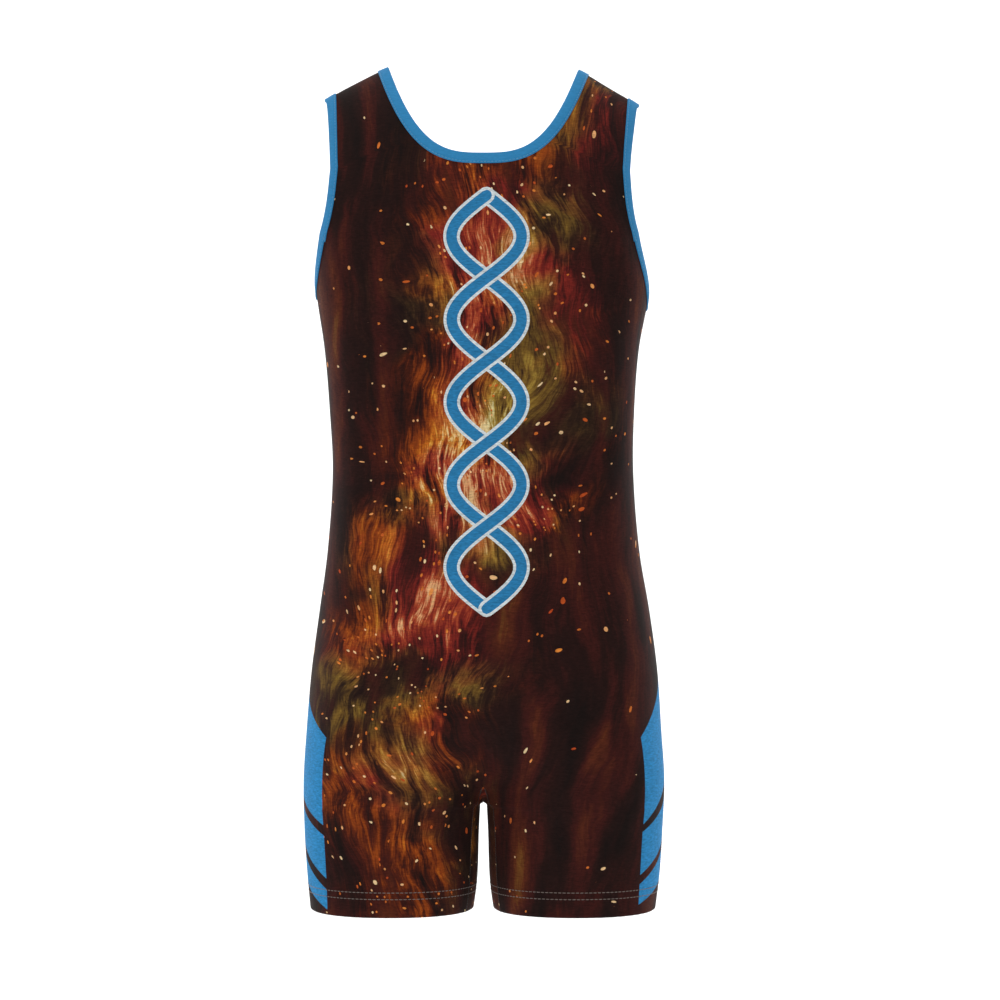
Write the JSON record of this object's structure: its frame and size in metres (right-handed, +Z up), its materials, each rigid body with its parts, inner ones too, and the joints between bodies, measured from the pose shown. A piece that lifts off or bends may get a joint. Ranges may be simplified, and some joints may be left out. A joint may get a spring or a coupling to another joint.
{
  "type": "wrestling singlet",
  "caption": "One-piece sleeveless wrestling singlet with short legs, filled out and hollow, with bound neck and armholes and a crotch gusset.",
  "frame": {"origin": "midway between the two straps, at the height where the wearer's shoulders bear them", "axes": "+Z up along the body, +Y to the wearer's front, -Y to the wearer's back, +X to the wearer's right"},
  "size_m": [0.3601, 0.2287, 0.839],
  "materials": {
    "printed_knit": "satin",
    "blue_binding": "satin"
  },
  "bodies": {
    "root": {"back_panel": "printed_knit", "front_panel": "printed_knit", "crotch_gusset": "printed_knit", "neck_binding": "blue_binding", "armhole_binding_left": "blue_binding", "armhole_binding_right": "blue_binding"}
  },
  "joints": []
}
